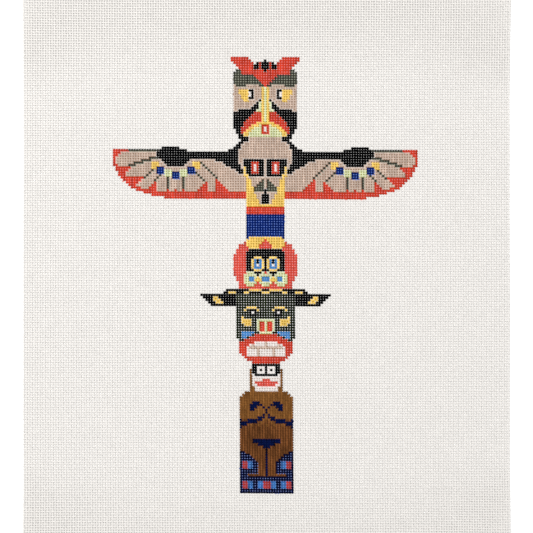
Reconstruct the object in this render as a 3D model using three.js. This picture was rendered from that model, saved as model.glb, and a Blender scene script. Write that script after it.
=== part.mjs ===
// A painted needlepoint canvas: one sheet of stiff cotton mono canvas, cut square and lying face up.
// Millimetres, +Z up, +Y towards the top of the picture. The origin is on the ground under its middle.

import * as THREE from "three";

// Driving dimensions
const inch = 25.4;
const warpsPerInch = 18; // threads that run along Y, counted across the sheet
const weftsPerInch = 18.5; // threads that run along X, packed a little closer
const warpCount = 190;
const weftCount = 250;
const threadHeight = 0.4; // a cotton thread pressed flat, so two cross in 0.8 mm
const flatShareAcross = 0.5; // the share of the half width that lies flat
const flatShareAlong = 0.6; // the share of the half length that lies flat
const endLift = { top: 2.0, bottom: 1.5 }; // what is left of the roll's curl at each cut end
const cornerLift = { topLeft: 1.5, topRight: 2.5, bottomLeft: 2.0, bottomRight: 4.0 };
const stepsAcross = 32;
const stepsAlong = 40;

const sheetWidth = (warpCount * inch) / warpsPerInch;
const sheetLength = (weftCount * inch) / weftsPerInch;
const sheetThickness = 2 * threadHeight;

// How far along a place is from the flat middle (0) to the cut edge (1).
function fromFlatToEdge(distance, half, flatShare) {
  const flat = half * flatShare;
  return Math.max(0, (Math.abs(distance) - flat) / (half - flat));
}

// The height of the sheet's underside: flat in the middle, with the ends and corners curling up.
function curl(x, y) {
  const across = fromFlatToEdge(x, sheetWidth / 2, flatShareAcross);
  const along = fromFlatToEdge(y, sheetLength / 2, flatShareAlong);
  const end = y > 0 ? "top" : "bottom";
  const side = x > 0 ? "Right" : "Left";
  return endLift[end] * along ** 2 + cornerLift[end + side] * across ** 2 * along;
}

// The sheet is a thin block in small steps, with both faces raised by the curl.
function curledSheet() {
  const geometry = new THREE.BoxGeometry(
    sheetWidth,
    sheetLength,
    sheetThickness,
    stepsAcross,
    stepsAlong,
    1,
  );
  const position = geometry.getAttribute("position");
  for (let i = 0; i < position.count; i += 1) {
    const ground = sheetThickness / 2 + curl(position.getX(i), position.getY(i));
    position.setZ(i, position.getZ(i) + ground);
  }
  geometry.computeVertexNormals();
  return geometry;
}

// Sized white cotton: matt, with the starch giving it a slight stiffness and no shine.
const cottonCanvas = new THREE.MeshStandardMaterial({
  color: new THREE.Color(0.92, 0.9, 0.87),
  roughness: 0.85,
  metalness: 0,
});

const needlepointCanvas = new THREE.Mesh(curledSheet(), cottonCanvas);
needlepointCanvas.name = "needlepoint_canvas";

const part = new THREE.Group();
part.add(needlepointCanvas);

export default part;
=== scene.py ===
import bpy
import numpy as np
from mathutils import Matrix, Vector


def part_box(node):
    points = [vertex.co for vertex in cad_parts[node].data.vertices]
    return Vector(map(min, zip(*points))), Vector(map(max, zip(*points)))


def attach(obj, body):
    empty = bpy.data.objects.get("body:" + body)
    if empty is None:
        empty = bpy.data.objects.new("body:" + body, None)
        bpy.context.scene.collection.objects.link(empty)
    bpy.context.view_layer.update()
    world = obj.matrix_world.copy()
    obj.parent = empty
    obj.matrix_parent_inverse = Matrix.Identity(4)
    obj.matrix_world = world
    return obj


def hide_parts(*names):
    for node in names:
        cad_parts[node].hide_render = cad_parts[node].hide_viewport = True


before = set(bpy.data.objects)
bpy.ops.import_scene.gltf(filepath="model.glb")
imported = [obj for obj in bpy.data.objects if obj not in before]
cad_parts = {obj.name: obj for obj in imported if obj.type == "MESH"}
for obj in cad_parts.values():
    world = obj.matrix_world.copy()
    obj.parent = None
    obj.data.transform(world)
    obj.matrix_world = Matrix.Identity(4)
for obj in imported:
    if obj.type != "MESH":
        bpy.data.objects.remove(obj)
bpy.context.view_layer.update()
mm = 0.001

weave = {
    "warpCount": 190,  # threads that run along Y
    "weftCount": 250,  # threads that run along X
    "threadWidth": 0.83 * mm,
    "threadHeight": 0.4 * mm,
    "rise": 0.11 * mm,  # about a quarter of the height, because crossing threads press into each other
    "swell": 0.012,  # share by which a thread swells and thins along its run
    "stray": 0.008 * mm,  # most that a whole thread lies off its place
    "fray": 0.15,  # most that a cut end falls short, as a share of the pitch
    "warpSeed": 1.5,
    "weftSeed": 2.5,
}

# colours are linear. build: how much wider the paint makes a thread. film: colour of the dried paint
# that closes the holes of the mesh, with painted shade and painted light in it: darker than the paint
# for the light paints, as shade in the sunken holes, and lighter for the dark and red ones, as light
# shining up through the holes. streak: how much its shade changes from warp to warp. The number for
# the furrows is how much shade is painted into the furrows between the warps
paints = {
    "bare": {"colour": (0.79, 0.765, 0.73)},
    "taupe": {"colour": (0.55, 0.43, 0.355), "build": 0.03, "film": (0.27, 0.17, 0.115),
              "streak": 0.03},
    "red": {"colour": (0.50, 0.036, 0.014), "build": 0.12, "film": (0.70, 0.17, 0.16),
            "streak": 0.04},
    "coral": {"colour": (0.57, 0.060, 0.037), "build": 0.08, "film": (0.76, 0.24, 0.23),
              "streak": 0.03},
    "crimson": {"colour": (0.36, 0.034, 0.032), "build": 0.08, "film": (0.36, 0.11, 0.15),
                "streak": 0.05},
    "black": {"colour": (0.0004, 0.0004, 0.0005), "build": 0.31},
    "slate": {"colour": (0.040, 0.040, 0.029), "build": 0.08, "film": (0.26, 0.27, 0.21),
              "streak": 0.06},
    "pine": {"colour": (0.011, 0.015, 0.006), "build": 0.12, "streak": 0.1},
    "yellow": {"colour": (0.82, 0.565, 0.15), "build": 0.05, "film": (0.42, 0.25, 0.025),
               "streak": 0.03},
    "lime": {"colour": (0.66, 0.69, 0.44), "build": 0.03, "film": (0.27, 0.29, 0.085),
             "streak": 0.03},
    "navy": {"colour": (0.0003, 0.0012, 0.018), "build": 0.26, "film": (0.12, 0.16, 0.36),
             "streak": 0.1},
    "ink": {"colour": (0.0003, 0.003, 0.032), "build": 0.08, "film": (0.002, 0.008, 0.055),
            "streak": 0.1},
    "royal": {"colour": (0.0004, 0.010, 0.105), "build": 0.22, "film": (0.10, 0.18, 0.52),
              "streak": 0.05},
    "sky": {"colour": (0.05, 0.195, 0.46), "build": 0.10, "film": (0.22, 0.38, 0.66),
            "streak": 0.05},
    "steel": {"colour": (0.036, 0.135, 0.37), "build": 0.10, "film": (0.12, 0.27, 0.60),
              "streak": 0.06},
    # the brown paints have shade painted into the furrows between the warps, given by their last number
    "brown": {"colour": (0.21, 0.087, 0.022), "build": 0.08, "film": (0.150, 0.057, 0.013),
              "streak": 0.06, "furrowShade": 0.25},
    "umber": {"colour": (0.165, 0.060, 0.018), "build": 0.08, "film": (0.085, 0.029, 0.008),
              "streak": 0.07, "furrowShade": 0.45},
    "white": {"colour": (0.78, 0.735, 0.705), "build": 0.03, "film": (0.48, 0.38, 0.34)},
}
paintNames = list(paints)

low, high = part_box("needlepoint_canvas")
canvasWidth = high.x - low.x
canvasLength = high.y - low.y
clothMiddle = weave["threadHeight"] / 2 + weave["rise"]  # the lowest threads just touch the floor
warpPitch = canvasWidth / weave["warpCount"]
weftPitch = canvasLength / weave["weftCount"]

# the picture is worked out stitch by stitch: side counts threads out from its middle, row counts down
picture = {
    "stitchesWide": 119,
    "stitchesHigh": 175,
    "firstRow": 37,  # threads from the top edge of the canvas, two inches
    "firstColumn": 35,
}
halfPicture = picture["stitchesWide"] // 2
row, column = np.mgrid[0:picture["stitchesHigh"], -halfPicture:halfPicture + 1]
side = abs(column)
stitches = np.zeros(row.shape, int)


def lay(paint, where):
    stitches[where] = paintNames.index(paint)


def block(fromSide, toSide, fromRow, toRow):
    return (side >= fromSide) & (side <= toSide) & (row >= fromRow) & (row <= toRow)


def oval(atSide, atRow, halfWide, halfHigh, squareness=2):
    across = abs(side - atSide) / halfWide
    down = abs(row - atRow) / halfHigh
    return across**squareness + down**squareness <= 1


def outline(*corners):
    inside = np.zeros(row.shape, bool)
    for (s0, r0), (s1, r1) in zip(corners, corners[1:] + corners[:1]):
        if r0 == r1:
            continue
        crosses = (r0 > row) != (r1 > row)
        inside ^= crosses & (side < (s1 - s0) * (row - r0) / (r1 - r0) + s0)
    return inside


def stroke(width, *points):
    near = np.full(row.shape, np.inf)
    for (s0, r0), (s1, r1) in zip(points, points[1:]):
        length2 = (s1 - s0) ** 2 + (r1 - r0) ** 2
        along = ((side - s0) * (s1 - s0) + (row - r0) * (r1 - r0)) / length2
        along = along.clip(0, 1)
        away = np.hypot(side - s0 - along * (s1 - s0), row - r0 - along * (r1 - r0))
        near = np.minimum(near, away)
    return near <= width / 2


def paintBirdHead():
    lay("taupe", block(0, 12, 9, 24))
    lay("slate", outline((0, 6.5), (8, 6.5), (9.4, 4.6), (9.6, 3.4), (10.4, 3.4), (11.5, 5), (12.5, 6),
                         (12.5, 9.4), (11, 11.4), (7.6, 11.4), (7, 10.4), (3, 10.4), (1.4, 12.6),
                         (0.6, 12.6), (0.6, 10)))
    # feathered crest with a dark crown in its middle
    lay("red", outline((13.5, -0.5), (7.5, -0.5), (4.6, 2.2), (0, 1.4), (0, 11.5), (0.6, 11.4),
                       (1.2, 9.6), (2.6, 8.6), (3.8, 7.4), (4.6, 6.7), (8, 6.5), (8.9, 6.5),
                       (10.2, 4.6), (11.4, 3), (13.2, 1.2)))
    lay("black", block(0, 0, 1, 5) | block(1, 1, 2, 4) | block(3, 3, 2, 4) | block(4, 4, 3, 4))
    # almond eye: a yellow lid, a dark ring and a white spot
    lay("yellow", outline((11.4, 13.5), (10.4, 12.5), (6.6, 12.5), (6.6, 17), (7.6, 18.6), (8.4, 17),
                          (9.9, 14.6)))
    lay("black", oval(5.5, 14.5, 1.3, 2.2, 4))
    lay("white", block(6, 6, 14, 15))
    # beak: two pale flanks beside a yellow ridge, over a curved red lip
    lay("lime", outline((0, 16), (1.6, 17), (2.6, 19), (3.6, 21), (3.8, 22.4), (0, 22.4)))
    lay("black", outline((1.4, 16.4), (2.4, 16.4), (3.6, 18.2), (5.4, 20.4), (8.6, 20.4), (12.6, 22),
                         (12.6, 27.6), (11.4, 29.4), (10.4, 31.6), (9.2, 33.4), (6.8, 33.4), (6.8, 30),
                         (9, 26), (3.5, 22), (2.6, 19)))
    lay("red", outline((0, 21.6), (3.8, 21.6), (6.8, 23.8), (8.6, 26.4), (9.5, 28.6), (9.5, 30.4),
                       (8, 30.4), (5, 27), (0, 24.6)))
    lay("yellow", outline((0, 24.6), (2.4, 25.4), (5.4, 26.8), (7.4, 28.6), (8.6, 30.4), (8.6, 31.4),
                          (6.5, 31.4), (0, 27)))
    lay("lime", outline((0, 26.4), (2.4, 26.6), (5, 28.4), (6.6, 30.4), (6.6, 31.6), (0, 31.6)))
    lay("yellow", block(1, 1, 12, 25))
    lay("lime", block(0, 0, 12, 25))
    lay("red", block(0, 1, 27, 30))
    lay("white", block(0, 0, 28, 29))


wings = {
    "tipSide": 59.5,
    "topRow": 36.5,
    "hemRow": 56.5,
    "featherLines": (  # each from the shoulder outwards
        ((42, 39.4), (47, 41.2), (53, 43)),
        ((44, 45), (47, 48)),
        ((41, 47), (43, 49)),
        ((38, 48), (38, 52)),
        ((32, 48), (32, 52)),
        ((27, 46), (24, 49)),
        ((25, 42), (19, 48)),
    ),
    "hemTeeth": (  # inner foot, peak and outer foot of each tooth, and the row of its peak
        (13.5, 18.8, 19.6, 48.4),
        (27.4, 23.4, 23, 49.4),
        (31.4, 31.8, 32.4, 51.8),
        (34.4, 34.8, 35.4, 52.8),
        (37.4, 37.8, 38.4, 51.8),
        (46.4, 43.2, 42.4, 49.0),
    ),
    "beads": ("yellow", "royal", "lime", "royal", "lime", "royal", "yellow"),
    "beadMiddle": (34.9, 40.2),
    "beadReach": (8.5, 6.6),
    "beadTurn": 22,  # degrees from one bead to the next, round the arc
    "lineWidth": 1.2,
}


def paintWings():
    tip, top, hem = wings["tipSide"], wings["topRow"], wings["hemRow"]
    lay("red", outline((7.5, top + 1), (53.5, top + 1), (53.5, top), (tip, top), (tip, 42.5),
                       (58.6, 45), (55.4, 49.4), (51.4, 52.6), (49, 53.4), (45, 55), (39.5, 55.4),
                       (39.5, hem), (7.5, hem)))
    # three pointed feathers at the tip, and square ones along the hem
    lay("taupe", outline((42, top + 1), (53.5, top + 1), (56.6, 38), (58.3, 40.4), (58.3, 42.4),
                         (57, 43.6), (42, 43.6)))
    lay("taupe", outline((42, 43), (51.4, 43), (55.4, 47.5), (42, 47.5)))
    lay("taupe", outline((42, 47), (46.4, 47), (51, 51.4), (50.4, 51.6), (46.4, 52.6), (42, 50)))
    lay("taupe", block(7, 42, 38, 53))
    for inner, peak, outer, peakRow in wings["hemTeeth"]:
        lay("red", outline((inner, 53.6), (peak, peakRow), (outer, peakRow), (outer, 53.6)))
    for points in wings["featherLines"]:
        lay("slate", stroke(wings["lineWidth"], *points))
    lay("slate", block(42, 53, 37, 37))
    # the shoulder bar swells over the wing, and steps down beside the body
    lay("black", outline((7.6, 33), (9.4, 33), (10.6, 34.6), (13, 36.4), (16, 37.5), (31, 37.5),
                         (31, 36.5), (33.4, 36.5), (33.4, 35.5), (39.4, 35.5), (41.2, 36.5),
                         (42.9, 37.6), (42.9, 38.6), (41, 40.8), (37.5, 43.6), (32.2, 43.6),
                         (28.6, 40.6), (20, 40.6), (16, 42.4), (13, 44.3), (9, 46.6), (9, 44.6),
                         (10.4, 42)))
    beads = wings["beads"]
    middle = (len(beads) - 1) / 2
    (atSide, atRow), (wide, deep) = wings["beadMiddle"], wings["beadReach"]
    # an arc of square beads: the royal ones go on last, over their neighbours
    for place in sorted(range(len(beads)), key=lambda place: beads[place] == "royal"):
        turn = np.radians((place - middle) * wings["beadTurn"])
        beadSide = round(atSide + wide * np.sin(turn))
        beadRow = round(atRow + deep * np.cos(turn))
        lay(beads[place], block(beadSide - 1, beadSide + 1, beadRow - 1, beadRow + 1))


def paintChest():
    lay("taupe", outline((0, 31.6), (6.6, 31.6), (7.6, 33.6), (9.6, 35.4), (10.6, 37), (10.6, 42.4),
                         (9.6, 43), (7.5, 50), (7.5, 60), (0, 60)))
    lay("yellow", outline((9, 42.6), (8, 42.6), (8, 46), (6.4, 47), (4.4, 53), (3.4, 56), (1.4, 59),
                          (0, 58.5), (0, 59.5), (7.5, 59.5), (7.5, 49), (9, 46)))
    lay("black", outline((0.6, 40.6), (8.5, 40.6), (7.6, 45.4), (6.4, 47.5), (0.6, 47.5)))
    lay("red", block(3, 5, 42, 46))
    lay("white", block(4, 4, 43, 45))
    lay("slate", outline((0.6, 48.6), (1.4, 48.6), (4.5, 52), (4.5, 53.6), (0.6, 53.6)))
    lay("black", block(0, 0, 53, 58) | block(1, 1, 55, 58))
    lay("red", block(0, 7, 60, 62))
    lay("royal", block(0, 7, 63, 72))


def paintRoundHead():
    lay("coral", oval(0, 83, 12.5, 10.6, 2.8) & (row >= 72) & (row <= 93))
    lay("coral", outline((0, 88), (11.5, 88), (9.6, 93.4), (0, 93.4)))
    lay("yellow", outline((0, 71.4), (5.6, 71.4), (7.5, 72.4), (7.5, 75), (6.4, 76.4), (2.6, 76.4),
                          (1.6, 74), (0, 72.4)))
    lay("coral", outline((0, 72.4), (1.6, 74), (2.6, 76.4), (0, 76.4)))
    lay("black", oval(0, 82, 7.6, 5.4, 6) & (row <= 86))
    # round eyes, over a moustache of three lobes
    lay("yellow", oval(3, 82.5, 2.7, 3.2, 2.2))
    lay("sky", block(2, 4, 81, 84))
    lay("black", block(3, 3, 81, 82))
    lay("white", block(3, 3, 83, 83))
    lay("lime", oval(0, 88.4, 3.4, 2.9) | oval(5.8, 88.4, 2.9, 2.9, 2.6))
    lay("coral", block(0, 0, 86, 86))
    lay("black", block(2, 4, 86, 86) | block(3, 3, 87, 87))
    lay("sky", block(0, 1, 88, 89) | block(5, 6, 88, 89))
    lay("yellow", block(3, 3, 88, 88) | block(2, 4, 89, 89))


def paintEars():
    lay("black", outline((0, 92.5), (14.9, 92.5), (16.6, 94.4), (25.5, 94.6), (24.5, 96.4),
                         (22.8, 97.6), (21.5, 98.6), (21.5, 99.6), (0, 99.6)))
    lay("yellow", outline((21.4, 95.5), (19.2, 95.5), (16.4, 98.5), (19, 98.5)))
    # a broken yellow line along the top
    for fromSide, toSide, atRow in ((12, 14, 94), (7, 8, 94), (2, 6, 93), (0, 1, 94)):
        lay("yellow", block(fromSide, toSide, atRow, atRow))


def paintBeastHead():
    lay("pine", outline((0, 94.6), (11.5, 94.6), (11.5, 111), (10.4, 115), (0, 115)))
    lay("yellow", stroke(0.9, (8, 101), (7, 100), (4, 100), (3, 101)))
    lay("black", oval(5.2, 102, 1.6, 1.7, 3))
    lay("white", block(5, 5, 102, 102))
    lay("yellow", oval(7.3, 106, 2.2, 1.4) | stroke(0.9, (9, 104), (9, 105)))
    lay("sky", outline((9.6, 109.4), (3.8, 109.4), (5.6, 111), (7.4, 111.5), (7.6, 112.6),
                       (9.6, 112.6)))
    lay("lime", oval(0, 107.3, 3.7, 3.1, 2.8))
    lay("red", block(1, 2, 106, 109))


def paintMouth():
    lay("red", outline((0, 110.6), (3.4, 110.6), (5, 111.6), (7.5, 112.6), (10.3, 113.6), (10.5, 118),
                       (9.6, 119.6), (8, 120.6), (6, 121.6), (5, 122.6), (0, 122.6)))
    teeth = outline((0, 113.4), (3, 113.6), (5.4, 114.4), (7.6, 115.6), (7.6, 118.6), (6.6, 119.5),
                    (0, 119.5))
    lay("white", teeth)
    # the gums show as lines between the teeth
    lay("taupe", teeth & (row == 116) & (side <= 6))
    lay("taupe", teeth & ((side % 5 == 0) & (row < 116) | (side == 3) & (row > 116)))


def paintSmallFace():
    lay("brown", block(6, 6, 125, 134) | block(5, 5, 132, 133))
    lay("white", block(0, 5, 127, 133) & ~block(5, 5, 132, 133))
    lay("black", oval(0, 124.8, 5.6, 2.4, 4))
    lay("white", block(1, 3, 124, 126))
    lay("black", block(2, 2, 125, 125))
    lay("coral", block(0, 1, 129, 129) | block(0, 4, 130, 130) | block(0, 3, 131, 131))


def paintBody():
    lay("navy", block(0, 10, 157, 174))
    body = outline((0, 133.6), (8, 133.6), (10.5, 136), (10.5, 157), (8, 158.4), (5, 160.2), (3.6, 162),
                   (3.6, 166.4), (7.5, 166.4), (7.5, 167.6), (0, 167.6))
    # brown above and umber below, with a few stitches scattered between them
    lay("umber", body)
    lay("brown", body & ((row <= 144) | (row <= 147) & (side % 3 == row % 3)))
    # brow, cheek fold and mouth are long dark shapes that taper
    lay("ink", outline((2.4, 137.6), (5.6, 137.6), (6.5, 138.6), (6.5, 141.6), (4.6, 141.6),
                       (2.8, 139.6)))
    lay("ink", stroke(0.9, (4, 139), (2, 139), (1, 140)))
    lay("ink", stroke(2.0, (1, 143.5), (2.2, 144.8), (5, 145.4), (9.4, 146.6)))
    lay("ink", outline((10.5, 143.8), (10.5, 148.6), (8, 147.4), (8, 146)))
    lay("ink", block(0, 0, 141, 142) | block(0, 0, 156, 167))
    lay("ink", outline((0, 152.6), (6.2, 152.6), (5.4, 154), (3.4, 155), (1.4, 156), (0, 156.4)))
    for firstRow, blocks in ((162, (("crimson", 8), ("steel", 6))),
                             (170, (("crimson", 8), ("steel", 6), ("steel", 2), ("crimson", 0)))):
        for paint, firstSide in blocks:
            lay(paint, block(firstSide, firstSide + 1, firstRow, firstRow + 2))


for paintFigure in (paintWings, paintChest, paintBirdHead, paintRoundHead, paintEars, paintBeastHead,
                    paintMouth, paintSmallFace, paintBody):
    paintFigure()

# the whole canvas, stitch by stitch, counted from the top left
canvasPaint = np.zeros((weave["weftCount"], weave["warpCount"]), int)
lastRow = picture["firstRow"] + picture["stitchesHigh"]
lastColumn = picture["firstColumn"] + picture["stitchesWide"]
canvasPaint[picture["firstRow"]:lastRow, picture["firstColumn"]:lastColumn] = stitches
print("picture laid out:", int((stitches > 0).sum()), "painted stitches")


class Nodes:
    # short ways to add nodes to one tree and join them
    def __init__(self, tree):
        self.tree = tree

    def fill(self, socket, value):
        if isinstance(value, bpy.types.NodeSocket):
            self.tree.links.new(value, socket)
        else:
            socket.default_value = value

    def add(self, kind, inputs=(), output=0, **settings):
        node = self.tree.nodes.new(kind)
        for name, value in settings.items():
            setattr(node, name, value)
        for name, value in dict(inputs).items():
            self.fill(node.inputs[name], value)
        return node.outputs[output] if len(node.outputs) else node

    def math(self, operation, *values):
        node = self.tree.nodes.new("ShaderNodeMath")
        node.operation = operation
        for socket, value in zip(node.inputs, values):
            self.fill(socket, value)
        return node.outputs[0]

    def vector(self, x=0.0, y=0.0, z=0.0):
        return self.add("ShaderNodeCombineXYZ", {"X": x, "Y": y, "Z": z})

    def shaded(self, colour, shade):
        factors = self.vector(shade, shade, shade)
        return self.add("ShaderNodeVectorMath", {0: colour, 1: factors}, operation="MULTIPLY")

    def attribute(self, name):
        node = self.tree.nodes.new("ShaderNodeAttribute")
        node.attribute_name = name
        return node.outputs


def buildThreadTree():
    # threads side by side, each one bent over and under the other set, with one ring at each crossing
    tree = bpy.data.node_groups.new("Woven threads", "GeometryNodeTree")
    sockets = {}
    for name, kind in (
        ("Threads", "Int"), ("First Thread", "Int"), ("Crossings", "Int"), ("Middle Thread", "Float"),
        ("Thread Pitch", "Float"), ("Crossing Pitch", "Float"), ("Width", "Float"), ("Height", "Float"),
        ("Rise", "Float"), ("Swell", "Float"), ("Stray", "Float"), ("Fray", "Float"),
        ("Thread Seed", "Float"), ("Crossing Seed", "Float"), ("Along X", "Bool"),
        ("Material", "Material"),
    ):
        made = tree.interface.new_socket(name, in_out="INPUT", socket_type="NodeSocket" + kind)
        sockets[name] = made.identifier
    tree.interface.new_socket("Geometry", in_out="OUTPUT", socket_type="NodeSocketGeometry")
    nodes = Nodes(tree)
    given = tree.nodes.new("NodeGroupInput").outputs

    firstEndSeed, lastEndSeed, swellSeed = 71.5, 93.5, 5.5
    ringsApart = 331  # more than a thread has rings, so that no two rings share a number

    def number(geometry, name, value):
        stored = {"Geometry": geometry, "Name": name, "Value": value}
        return nodes.add("GeometryNodeStoreNamedAttribute", stored, data_type="FLOAT", domain="POINT")

    def chance(first, second):  # 0 to 1, always the same for the same two numbers
        return nodes.add("ShaderNodeTexWhiteNoise", {"Vector": nodes.vector(first, second)}, "Value")

    def swing(which, seed, most):  # from -most to most
        bothWays = nodes.math("MULTIPLY_ADD", chance(which, seed), 2, -1)
        return nodes.math("MULTIPLY", bothWays, most)

    index = nodes.add("GeometryNodeInputIndex")
    rings = nodes.math("ADD", given["Crossings"], 2)
    thread = nodes.add("GeometryNodeMeshLine", {"Count": rings, "Offset": (0, 1, 0)}, mode="OFFSET")
    thread = number(thread, "crossNo", nodes.math("SUBTRACT", index, 1))
    starts = nodes.add("GeometryNodeMeshLine", {"Count": given["Threads"], "Offset": (1, 0, 0)},
                       mode="OFFSET")
    starts = number(starts, "threadNo", nodes.math("ADD", index, given["First Thread"]))
    laid = nodes.add("GeometryNodeInstanceOnPoints", {"Points": starts, "Instance": thread})
    laid = nodes.add("GeometryNodeRealizeInstances", {"Geometry": laid})

    threadNo = nodes.add("GeometryNodeInputNamedAttribute", {"Name": "threadNo"}, "Attribute")
    crossNo = nodes.add("GeometryNodeInputNamedAttribute", {"Name": "crossNo"}, "Attribute")
    lastCross = nodes.math("SUBTRACT", given["Crossings"], 1)
    shortFirst = nodes.math("MULTIPLY", chance(threadNo, firstEndSeed), given["Fray"])
    shortLast = nodes.math("MULTIPLY", chance(threadNo, lastEndSeed), given["Fray"])
    firstEnd = nodes.math("SUBTRACT", shortFirst, 0.5)
    lastEnd = nodes.math("SUBTRACT", nodes.math("ADD", lastCross, 0.5), shortLast)
    place = nodes.math("MINIMUM", nodes.math("MAXIMUM", crossNo, firstEnd), lastEnd)
    isCrossing = nodes.math("COMPARE", place, crossNo, 0.01)  # 0 at a cut end

    middleCross = nodes.math("MULTIPLY", lastCross, 0.5)
    across = nodes.math("SUBTRACT", threadNo, given["Middle Thread"])
    across = nodes.math("MULTIPLY_ADD", across, given["Thread Pitch"],
                        swing(threadNo, given["Thread Seed"], given["Stray"]))
    along = nodes.math("SUBTRACT", place, middleCross)
    along = nodes.math("MULTIPLY_ADD", along, given["Crossing Pitch"],
                       swing(crossNo, given["Crossing Seed"], given["Stray"]))
    turn = nodes.math("ADD", nodes.math("ADD", threadNo, crossNo), given["Along X"])
    overOrUnder = nodes.math("MULTIPLY_ADD", nodes.math("FLOORED_MODULO", turn, 2), -2, 1)
    height = nodes.math("MULTIPLY", nodes.math("MULTIPLY", overOrUnder, isCrossing), given["Rise"])
    spot = nodes.add("GeometryNodeSwitch", {
        "Switch": given["Along X"],
        "False": nodes.vector(across, along, height),
        "True": nodes.vector(along, across, height),
    }, input_type="VECTOR")
    laid = nodes.add("GeometryNodeSetPosition", {"Geometry": laid, "Position": spot})

    path = nodes.add("GeometryNodeMeshToCurve", {"Mesh": laid})
    path = nodes.add("GeometryNodeSetCurveNormal", {"Curve": path}, mode="Z_UP")
    halfHeight = nodes.math("MULTIPLY", given["Height"], 0.5)
    section = nodes.add("GeometryNodeCurvePrimitiveQuadrilateral", {
        "Width": given["Width"],
        "Bottom Height": halfHeight,
        "Top Height": halfHeight,
    }, mode="KITE")
    section = number(section, "sideNo", index)
    ringNo = nodes.math("MULTIPLY_ADD", threadNo, ringsApart, crossNo)
    tube = nodes.add("GeometryNodeCurveToMesh", {
        "Curve": path,
        "Profile Curve": section,
        "Fill Caps": True,
        "Scale": nodes.math("ADD", swing(ringNo, swellSeed, given["Swell"]), 1),
    })
    tube = nodes.add("GeometryNodeSetShadeSmooth", {"Geometry": tube})
    tube = nodes.add("GeometryNodeRealizeInstances", {"Geometry": tube})
    tube = nodes.add("GeometryNodeSetMaterial", {"Geometry": tube, "Material": given["Material"]})
    nodes.add("NodeGroupOutput", {"Geometry": tube})
    return tree, sockets


def grow(name, tree, sockets, values):
    # runs a node tree once and keeps its result as a plain mesh
    plan = bpy.data.objects.new(name + "_plan", bpy.data.meshes.new(name + "_plan"))
    bpy.context.scene.collection.objects.link(plan)
    modifier = plan.modifiers.new("Grow", "NODES")
    modifier.node_group = tree
    for key, value in values.items():
        modifier[sockets[key]] = value
    evaluated = plan.evaluated_get(bpy.context.evaluated_depsgraph_get())
    mesh = bpy.data.meshes.new_from_object(evaluated)
    bpy.data.objects.remove(plan)
    piece = bpy.data.objects.new(name, mesh)
    mesh.name = name
    bpy.context.scene.collection.objects.link(piece)
    return piece


lift = {  # the sheet lies flat in the middle, and its ends and corners stand up a little
    "flatShareAcross": 0.5,
    "flatShareAlong": 0.6,
    "end": {"top": 2.0 * mm, "bottom": 1.5 * mm},
    "topCorner": {"left": 1.5 * mm, "right": 2.5 * mm},
    "bottomCorner": {"left": 2.0 * mm, "right": 4.0 * mm},
}


def fromFlatToEdge(distance, half, flatShare):
    flat = half * flatShare
    return np.clip((abs(distance) - flat) / (half - flat), 0, None)


def liftAt(x, y):
    along = fromFlatToEdge(y, canvasLength / 2, lift["flatShareAlong"])
    across = fromFlatToEdge(x, canvasWidth / 2, lift["flatShareAcross"])
    topCorner, bottomCorner = (np.where(x > 0, lift[end]["right"], lift[end]["left"])
                               for end in ("topCorner", "bottomCorner"))
    endRise = np.where(y > 0, lift["end"]["top"], lift["end"]["bottom"])
    cornerRise = np.where(y > 0, topCorner, bottomCorner)
    return endRise * along**2 + cornerRise * across**2 * along


bend = {  # all threads bend together
    "wander": 0.1 * mm,  # most that the waves move them
    # each a slow wave and a quick one: radians over the length, radians over the width, and a start
    "waveAcross": ((9.1, 3.3, 1.0), (23.0, -7.0, 0.0)),
    "waveAlong": ((-2.7, 8.3, 2.2), (9.0, 19.0, 0.0)),
    "quickShare": 0.5,
    "slant": 0.0037,  # how far the wefts run downhill to the right
    "leanAtMiddle": 0.1 * mm,  # how far the warps drift to the right
    "leanGained": 2.6 * mm,  # and how much further over a whole length
}


def wave(u, v, parts):
    slow, quick = (np.sin(overLength * v + overWidth * u + start)
                   for overLength, overWidth, start in parts)
    return (slow + bend["quickShare"] * quick) / (1 + bend["quickShare"])


def drift(x, y):
    # the warps lean more and more below the middle, but not at the side edges
    u, v = x / canvasWidth, y / canvasLength
    lean = np.clip(bend["leanAtMiddle"] - bend["leanGained"] * v, 0, None) * (1 - 4 * u**2)
    moveX = bend["wander"] * wave(u, v, bend["waveAcross"]) + lean
    return moveX, bend["wander"] * wave(u, v, bend["waveAlong"]) - bend["slant"] * x


def settle(mesh):
    place = np.empty(len(mesh.vertices) * 3, np.float32)
    mesh.vertices.foreach_get("co", place)
    place = place.reshape(-1, 3)
    x, y = place[:, 0].copy(), place[:, 1].copy()
    moveX, moveY = drift(x, y)
    place[:, 0] += moveX
    place[:, 1] += moveY
    place[:, 2] += clothMiddle + liftAt(x, y)
    mesh.vertices.foreach_set("co", place.ravel())
    mesh.update()


def readNumbers(mesh, name):
    values = np.empty(len(mesh.vertices), np.float32)
    mesh.attributes[name].data.foreach_get("value", values)
    return values


def storeFaceColour(mesh, name, values):
    layer = mesh.attributes.new(name, "FLOAT_COLOR", "FACE")
    layer.data.foreach_set("color", values.astype(np.float32).ravel())


finish = {
    "seed": 18,
    "stitchSpread": 0.035,  # how much the shade of a painted stitch differs from the next one's
    "bareSpread": 0.01,
    "streakRows": 5,  # how far a streak is drawn out down the columns
    "streakKept": 0.75,  # share of a streak that goes on from row to row
    "streakAdded": 0.66,  # share of new streaks in each row
    "soak": 0.3,  # share of the colour that reaches the lower side of a thread
}


def ofPaints(key, otherwise=0.0):
    return np.array([paints[name].get(key, otherwise) for name in paintNames])


paintColour = ofPaints("colour")
# the last of these is the shade painted into the furrows between the warps
paintBuild, paintStreak, paintFurrowShade = map(ofPaints, ("build", "streak", "furrowShade"))

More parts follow.
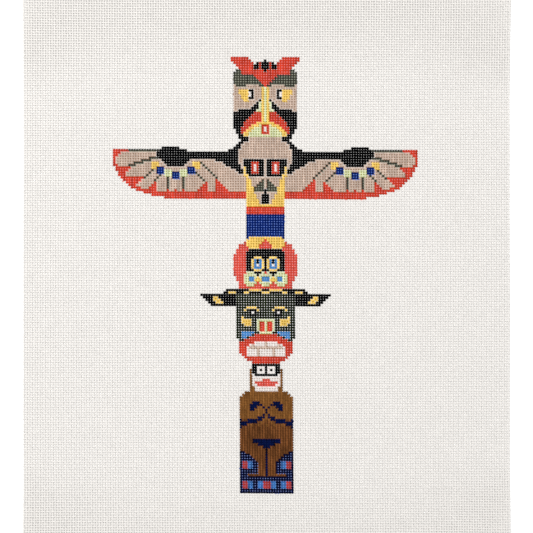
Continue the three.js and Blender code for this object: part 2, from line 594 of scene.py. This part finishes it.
# each stitch has its own shade, and streaks run down the columns
dice = np.random.default_rng(finish["seed"])
stitchShade = dice.normal(0, 1, canvasPaint.shape)
columnShade = dice.normal(0, 1, canvasPaint.shape)
for _ in range(finish["streakRows"]):
    columnShade[1:] = finish["streakKept"] * columnShade[:-1] + finish["streakAdded"] * columnShade[1:]
spread = np.where(canvasPaint > 0, finish["stitchSpread"], finish["bareSpread"])
stitchColour = paintColour[canvasPaint] * (1 + spread * stitchShade)[..., None]
stitchColour *= (1 + paintStreak[canvasPaint] * columnShade)[..., None]
isPainted = (canvasPaint > 0).astype(float)  # kept as the colour's alpha
stitchColour = np.dstack([stitchColour.clip(0, 1), isPainted])
bareColour = np.array(paints["bare"]["colour"] + (0.0,))


def stitchAt(alongX, thread, cross, crossings):
    # threads are counted from the bottom left, and the canvas from the top left
    cross = cross.clip(0, crossings - 1)
    fromBottom, fromLeft = (thread, cross) if alongX else (cross, thread)
    return weave["weftCount"] - 1 - fromBottom.astype(int), fromLeft.astype(int)


def thicken(mesh, alongX, crossings):
    # the paint widens each ring that it coats
    place = np.empty(len(mesh.vertices) * 3, np.float32)
    mesh.vertices.foreach_get("co", place)
    rings = place.reshape(-1, 4, 3)
    thread, cross = (readNumbers(mesh, name)[::4] for name in ("threadNo", "crossNo"))
    build = paintBuild[canvasPaint[stitchAt(alongX, thread, cross, crossings)]]
    middle = rings[:, :, :2].mean(1, keepdims=True)
    rings[:, :, :2] = middle + (rings[:, :, :2] - middle) * (1 + build)[:, None, None]
    mesh.vertices.foreach_set("co", rings.ravel())


def paintThreads(piece, alongX, threads, crossings):
    mesh = piece.data
    corners = np.empty(len(mesh.loops), np.int32)
    mesh.loops.foreach_get("vertex_index", corners)
    corners = corners.reshape(-1, 4)  # every face is a quad, the cut ends too
    threadNo, crossNo, sideNo = (readNumbers(mesh, name)[corners]
                                 for name in ("threadNo", "crossNo", "sideNo"))
    thread, firstCross = threadNo[:, 0], crossNo.min(1)
    isCut = crossNo.max(1) == firstCross
    closing = (sideNo.max(1) - sideNo.min(1) > 2) & ~isCut  # the strip from the last side to the first
    around = np.where(closing[:, None] & (sideNo == 0), 4, sideNo)

    upper = (around.max(1) <= 1) | (around.min(1) >= 3) | isCut
    soaked = np.where(upper, 1.0, finish["soak"])[:, None]
    for name, cross in (("paintHere", firstCross), ("paintNext", firstCross + 1)):
        colour = stitchColour[stitchAt(alongX, thread, cross, crossings)]
        storeFaceColour(mesh, name, bareColour + (colour - bareColour) * soaked)

    # painted shade: only the wefts are darkened between the warps, so that shaded furrows run down the
    # canvas
    layer = mesh.attributes.new("furrowShadeAmount", "FLOAT", "FACE")
    if alongX:
        paint = canvasPaint[stitchAt(alongX, thread, firstCross, crossings)]
        layer.data.foreach_set("value", paintFurrowShade[paint].astype(np.float32))

    # quarter turns round the thread, and crossings along it
    strandShift = 7  # from thread to thread, so that their strands don't line up
    strand = np.dstack([around + strandShift * threadNo, crossNo])
    run = mesh.uv_layers.new(name="threadRun")
    run.data.foreach_set("uv", strand.astype(np.float32).ravel())
    # in the bake map each thread has a strip of its own, and its cut ends lie below and above it
    bake = mesh.uv_layers.new(name="OFBake")
    margin, sideWidth = 0.1, 0.2  # shares of the strip's width
    lastRing = crossNo == crossings
    sides = np.where(isCut[:, None], 4 * np.isin(sideNo, (1, 2)), around)
    alongCut = np.where(np.isin(sideNo, (2, 3)), 0.2, 0.8) + np.where(lastRing, crossings + 2, 0)
    u = (threadNo - threadNo.min() + margin + sideWidth * sides) / threads
    v = np.where(isCut[:, None], alongCut, crossNo + 2) / (crossings + 3)
    bake.data.foreach_set("uv", np.dstack([u, v]).astype(np.float32).ravel())
    for name in ("threadNo", "crossNo", "sideNo"):
        mesh.attributes.remove(mesh.attributes[name])


def buildUnevenPaint():
    # paint lies thicker in some places than in others, which shades its colour
    tree = bpy.data.node_groups.new("Uneven paint", "ShaderNodeTree")
    for name, kind in (("Colour", "Color"), ("Scale", "Float"), ("Detail", "Float"),
                       ("Darkest", "Float"), ("Range", "Float")):
        tree.interface.new_socket(name, in_out="INPUT", socket_type="NodeSocket" + kind)
    for name, kind in (("Colour", "Color"), ("Thickness", "Float")):
        tree.interface.new_socket(name, in_out="OUTPUT", socket_type="NodeSocket" + kind)
    nodes = Nodes(tree)
    given = tree.nodes.new("NodeGroupInput").outputs
    spot = nodes.add("ShaderNodeTexCoord", (), "Object")
    thickness = nodes.add("ShaderNodeTexNoise",
                          {"Vector": spot, "Scale": given["Scale"], "Detail": given["Detail"]})
    shade = nodes.math("MULTIPLY_ADD", thickness, given["Range"], given["Darkest"])
    colour = nodes.shaded(given["Colour"], shade)
    nodes.add("NodeGroupOutput", {"Colour": colour, "Thickness": thickness})
    return tree


cottonLook = {
    "grain": {"Scale": 2600.0, "Detail": 2.0},  # single fibres
    "brushed": {"Scale": 120.0, "Detail": 3.0, "Darkest": 0.965, "Range": 0.07},
    "paintEnds": (0.6, 0.7),  # where, between two crossings, one stitch's paint gives way to the next
    "raggedness": 0.3,
    # the painted shade of a furrow reaches this far to each side of a gap
    "furrow": (0.18, 0.34),  # how far a furrow reaches to each side of a gap
    "bareRoughness": 0.9,
    "paintRoughness": 0.62,
    "grainRoughness": 0.1,
    "strandTurn": 0.5,  # radians
    "strandStretch": (0.9, 2.6, 1),
    "strands": {"Scale": 1.6, "Distortion": 1.5},
    "grainShare": 0.35,  # of the relief, beside the strands
    "bump": {"Strength": 0.5, "Distance": 0.03 * mm},
    "shine": 0.03,
}


def paintedThread():
    look = cottonLook
    material = bpy.data.materials.new("painted_cotton")
    material.use_nodes = True
    tree = material.node_tree
    nodes = Nodes(tree)
    shader = tree.nodes["Principled BSDF"]

    def mix(kind, factor, a, b):
        node = tree.nodes.new("ShaderNodeMix")
        node.data_type = kind
        places = {"FLOAT": (0, 2, 3, 0), "RGBA": (0, 6, 7, 2)}[kind]
        for place, value in zip(places, (factor, a, b)):
            nodes.fill(node.inputs[place], value)
        return node.outputs[places[3]]

    run = nodes.add("ShaderNodeUVMap", uv_map="threadRun")
    spot = nodes.add("ShaderNodeTexCoord", (), "Object")
    grain = nodes.add("ShaderNodeTexNoise", {"Vector": spot, **look["grain"]})
    along = nodes.math("FRACT", nodes.add("ShaderNodeSeparateXYZ", {"Vector": run}, "Y"))
    ragged = nodes.math("MULTIPLY_ADD", grain, look["raggedness"], along)
    firstEnd, lastEnd = look["paintEnds"]
    past = nodes.add("ShaderNodeMapRange", {"Value": ragged, "From Min": firstEnd, "From Max": lastEnd})
    here = nodes.attribute("paintHere")
    after = nodes.attribute("paintNext")
    colour = mix("RGBA", past, here["Color"], after["Color"])
    isPaint = mix("FLOAT", past, here["Alpha"], after["Alpha"])
    colour = nodes.add("ShaderNodeGroup", {"Colour": colour, **look["brushed"]}, node_tree=unevenPaint)
    # painted shade in the furrows between the warps
    fromGap = nodes.math("ABSOLUTE", nodes.math("SUBTRACT", along, 0.5))
    nearGap, farGap = look["furrow"]
    inGap = nodes.add("ShaderNodeMapRange", {
        "Value": fromGap, "From Min": nearGap, "From Max": farGap, "To Min": 1, "To Max": 0})
    furrow = nodes.math("MULTIPLY", inGap, nodes.attribute("furrowShadeAmount")["Fac"])
    colour = nodes.shaded(colour, nodes.math("SUBTRACT", 1, furrow))
    tree.links.new(colour, shader.inputs["Base Color"])
    rough = nodes.add("ShaderNodeMapRange", {
        "Value": isPaint, "To Min": look["bareRoughness"], "To Max": look["paintRoughness"]})
    rough = nodes.math("SUBTRACT", rough, look["grainRoughness"] / 2)
    rough = nodes.math("MULTIPLY_ADD", grain, look["grainRoughness"], rough)
    tree.links.new(rough, shader.inputs["Roughness"])
    # strands twist round the thread
    twist = nodes.add("ShaderNodeMapping", {
        "Vector": run, "Rotation": (0, 0, look["strandTurn"]), "Scale": look["strandStretch"]})
    strands = nodes.add("ShaderNodeTexWave", {"Vector": twist, **look["strands"]}, "Fac")
    relief = mix("FLOAT", look["grainShare"], strands, grain)
    bump = nodes.add("ShaderNodeBump", {"Height": relief, **look["bump"]})
    tree.links.new(bump, shader.inputs["Normal"])
    shader.inputs["Specular IOR Level"].default_value = look["shine"]
    return material


threadTree, threadSockets = buildThreadTree()
unevenPaint = buildUnevenPaint()
cotton = paintedThread()
# whole threads only: the warps lie in two halves side by side, the wefts one half above the other
halves = {
    "warp_threads_left": (False, 0),
    "warp_threads_right": (False, weave["warpCount"] // 2),
    "weft_threads_lower": (True, 0),
    "weft_threads_upper": (True, weave["weftCount"] // 2),
}
for name, (alongX, firstThread) in halves.items():
    total = weave["weftCount"] if alongX else weave["warpCount"]
    crossings = weave["warpCount"] if alongX else weave["weftCount"]
    threadPitch, crossingPitch = (weftPitch, warpPitch) if alongX else (warpPitch, weftPitch)
    threads = total // 2
    piece = grow(name, threadTree, threadSockets, {
        "Threads": threads,
        "First Thread": firstThread,
        "Crossings": crossings,
        "Middle Thread": (total - 1) / 2,
        "Thread Pitch": threadPitch,
        "Crossing Pitch": crossingPitch,
        "Width": weave["threadWidth"],
        "Height": weave["threadHeight"],
        "Rise": weave["rise"],
        "Swell": weave["swell"],
        "Stray": weave["stray"],
        "Fray": weave["fray"],
        "Thread Seed": weave["weftSeed"] if alongX else weave["warpSeed"],
        "Crossing Seed": weave["warpSeed"] if alongX else weave["weftSeed"],
        "Along X": alongX,
        "Material": cotton,
    })
    thicken(piece.data, alongX, crossings)
    paintThreads(piece, alongX, threads, crossings)
    settle(piece.data)
    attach(piece, "root")
    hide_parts("needlepoint_canvas")
    print(name, "woven:", threads, "threads,", len(piece.data.polygons), "faces")


film = {
    "overlap": 0.1 * mm,  # how far a film reaches onto the threads around its hole
    "thickness": 0.07 * mm,
    "edgeShare": 0.05,  # share of the holes along the edge of the picture that close
    "colourSpread": 0.06,
    "tilt": 0.05,  # radians
    "spread": 0.02 * mm,  # most that a film hangs above or below the middle of the cloth
    "seed": 7,
    "pooled": {"Scale": 1500.0, "Detail": 2.0, "Darkest": 0.85, "Range": 0.3},
    "roughness": 0.4,
    "pooledRoughness": 0.25,
    "bump": {"Strength": 0.4, "Distance": 0.02 * mm},
    "shine": 0.03,
}


def buildFilmTree():
    # one thin pad in each hole that the paint has closed
    tree = bpy.data.node_groups.new("Paint films", "GeometryNodeTree")
    sockets = {}
    for name, kind in (
        ("Holes", "Object"), ("Width", "Float"), ("Length", "Float"), ("Thickness", "Float"),
        ("Tilt", "Vector"), ("Tilt Back", "Vector"), ("Seed", "Int"), ("Material", "Material"),
    ):
        made = tree.interface.new_socket(name, in_out="INPUT", socket_type="NodeSocket" + kind)
        sockets[name] = made.identifier
    tree.interface.new_socket("Geometry", in_out="OUTPUT", socket_type="NodeSocketGeometry")
    nodes = Nodes(tree)
    given = tree.nodes.new("NodeGroupInput").outputs
    holes = nodes.add("GeometryNodeObjectInfo", {"Object": given["Holes"]}, "Geometry")
    size = nodes.vector(given["Width"], given["Length"], given["Thickness"])
    pad = nodes.add("GeometryNodeMeshCube", {"Size": size})
    tilt = nodes.add("FunctionNodeRandomValue",
                     {0: given["Tilt Back"], 1: given["Tilt"], "Seed": given["Seed"]},
                     data_type="FLOAT_VECTOR")
    closed = nodes.add("GeometryNodeInstanceOnPoints",
                       {"Points": holes, "Instance": pad, "Rotation": tilt})
    closed = nodes.add("GeometryNodeRealizeInstances", {"Geometry": closed})
    closed = nodes.add("GeometryNodeSetMaterial", {"Geometry": closed, "Material": given["Material"]})
    nodes.add("NodeGroupOutput", {"Geometry": closed})
    return tree, sockets


def closedHoles():
    # a hole closes where the paint of each stitch round it can, but seldom at the edge of the picture
    around = np.stack([canvasPaint[:-1, :-1], canvasPaint[:-1, 1:],
                       canvasPaint[1:, :-1], canvasPaint[1:, 1:]])
    isBare = around == paintNames.index("bare")
    makesFilm = np.array(["film" in paints[name] for name in paintNames])
    canClose = (isBare | makesFilm[around]).all(0) & ~isBare.all(0)
    chance = np.where(isBare.any(0), film["edgeShare"], 1)
    rowNo, columnNo = np.nonzero(canClose & (dice.random(chance.shape) < chance))
    # one of the stitches gives the colour, but ink only by itself: it is drawn over films that are dry
    choice = np.where(isBare, 0, np.where(around == paintNames.index("ink"), 1, 2)).argmax(0)
    closing = np.take_along_axis(around, choice[None], 0)[0]
    x = (columnNo + 1 - weave["warpCount"] / 2) * warpPitch
    y = (weave["weftCount"] / 2 - 1 - rowNo) * weftPitch
    moveX, moveY = drift(x, y)
    z = clothMiddle + liftAt(x, y) + film["spread"] * dice.uniform(-1, 1, len(x))
    # the film colours hold painted shade and painted light: darker than the paint for the light paints,
    # lighter for the dark and red ones
    colour = ofPaints("film", (0, 0, 0))[closing[rowNo, columnNo]]
    colour *= 1 + film["colourSpread"] * dice.normal(0, 1, (len(x), 1))
    colour = np.hstack([colour.clip(0, 1), np.ones((len(x), 1))])
    points = bpy.data.meshes.new("closed_holes")
    points.from_pydata(np.stack([x + moveX, y + moveY, z], 1).tolist(), [], [])
    layer = points.attributes.new("paintHere", "FLOAT_COLOR", "POINT")
    layer.data.foreach_set("color", colour.astype(np.float32).ravel())
    holes = bpy.data.objects.new("closed_holes", points)
    bpy.context.scene.collection.objects.link(holes)
    return holes


def paintedFilm():
    material = bpy.data.materials.new("paint_film")
    material.use_nodes = True
    tree = material.node_tree
    nodes = Nodes(tree)
    shader = tree.nodes["Principled BSDF"]
    # the colour carries the painted shade and painted light of the film colours
    colour = nodes.attribute("paintHere")["Color"]
    pooled = nodes.add("ShaderNodeGroup", {"Colour": colour, **film["pooled"]}, node_tree=unevenPaint)
    tree.links.new(pooled, shader.inputs["Base Color"])
    thickness = pooled.node.outputs["Thickness"]
    rough = nodes.math("MULTIPLY_ADD", thickness, film["pooledRoughness"], film["roughness"])
    tree.links.new(rough, shader.inputs["Roughness"])
    bump = nodes.add("ShaderNodeBump", {"Height": thickness, **film["bump"]})
    tree.links.new(bump, shader.inputs["Normal"])
    shader.inputs["Specular IOR Level"].default_value = film["shine"]
    return material


def layBakeMap(mesh):
    # each pad has a square of its own, with its six faces in three columns and two rows
    faces = np.arange(len(mesh.polygons))
    perSide = int(np.ceil(np.sqrt(len(faces) / 6)))
    pad, face = np.divmod(faces, 6)
    padRow, padColumn = np.divmod(pad, perSide)
    corner = np.stack([padColumn + (face % 3) / 3, padRow + (face // 3) / 2], 1)
    square = np.array([(0.1, 0.1), (0.9, 0.1), (0.9, 0.9), (0.1, 0.9)]) / (3, 2)
    bake = mesh.uv_layers.new(name="OFBake")
    bake.data.foreach_set("uv", ((corner[:, None] + square) / perSide).astype(np.float32).ravel())


filmTree, filmSockets = buildFilmTree()
holes = closedHoles()
films = grow("paint_films", filmTree, filmSockets, {
    "Holes": holes,
    "Width": warpPitch - weave["threadWidth"] + 2 * film["overlap"],
    "Length": weftPitch - weave["threadWidth"] + 2 * film["overlap"],
    "Thickness": film["thickness"],
    "Tilt": (film["tilt"], film["tilt"], 0),
    "Tilt Back": (-film["tilt"], -film["tilt"], 0),
    "Seed": film["seed"],
    "Material": paintedFilm(),
})
layBakeMap(films.data)
print("paint films:", len(holes.data.vertices))
bpy.data.objects.remove(holes)
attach(films, "root")
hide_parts("needlepoint_canvas")


studio = {
    "floorSize": 6.0,
    "floorColour": (0.93, 0.93, 0.93, 1),
    "floorRoughness": 0.9,
    "floorGlow": 0.20,  # as on a light table, so that the open mesh shows as pale dots
    "floorDrop": 0.02 * mm,  # below the lowest threads
    "skyColour": (1.0, 1.0, 1.0, 1),
    "skyStrength": 0.68,
    "lampPlace": (-0.45, 0.5, 1.3),
    "lampSize": 0.9,
    "lampWatts": 17.0,
    "frameWidth": 293.4 * mm,  # what the camera takes in at the height of the canvas
    "lens": 85.0,
    "sensor": 36.0,
    "aimAbove": 5.5 * mm,  # the camera aims at a point above the middle of the sheet
}


def setStudio():
    scene = bpy.context.scene
    scene.view_settings.view_transform = "Standard"
    scene.cycles.use_denoising = False  # it would smear the weave
    half = studio["floorSize"] / 2
    floorMesh = bpy.data.meshes.new("floor")
    corners = [(-half, -half, 0), (half, -half, 0), (half, half, 0), (-half, half, 0)]
    floorMesh.from_pydata(corners, [], [(0, 1, 2, 3)])
    floor = bpy.data.objects.new("floor", floorMesh)
    floor.location.z = -studio["floorDrop"]
    scene.collection.objects.link(floor)
    material = bpy.data.materials.new("pale_floor")
    material.use_nodes = True
    shader = material.node_tree.nodes["Principled BSDF"]
    shader.inputs["Base Color"].default_value = studio["floorColour"]
    shader.inputs["Roughness"].default_value = studio["floorRoughness"]
    shader.inputs["Emission Color"].default_value = (1, 1, 1, 1)
    shader.inputs["Emission Strength"].default_value = studio["floorGlow"]
    floorMesh.materials.append(material)

    world = bpy.data.worlds.new("soft_sky")
    world.use_nodes = True
    sky = world.node_tree.nodes["Background"]
    sky.inputs["Color"].default_value = studio["skyColour"]
    sky.inputs["Strength"].default_value = studio["skyStrength"]
    scene.world = world
    lamp = bpy.data.lights.new("soft_lamp", "AREA")
    lamp.shape = "SQUARE"
    lamp.size = studio["lampSize"]
    lamp.energy = studio["lampWatts"]
    lampObject = bpy.data.objects.new("soft_lamp", lamp)
    lampObject.location = studio["lampPlace"]
    lampObject.rotation_euler = (-lampObject.location).to_track_quat("-Z", "Y").to_euler()
    scene.collection.objects.link(lampObject)

    camera = bpy.data.cameras.new("camera")
    camera.lens = studio["lens"]
    camera.sensor_width = studio["sensor"]
    distance = studio["frameWidth"] * studio["lens"] / studio["sensor"]
    cameraObject = bpy.data.objects.new("camera", camera)
    cameraObject.location = (0, studio["aimAbove"], clothMiddle + distance)
    scene.collection.objects.link(cameraObject)
    scene.camera = cameraObject


setStudio()
print("studio set")
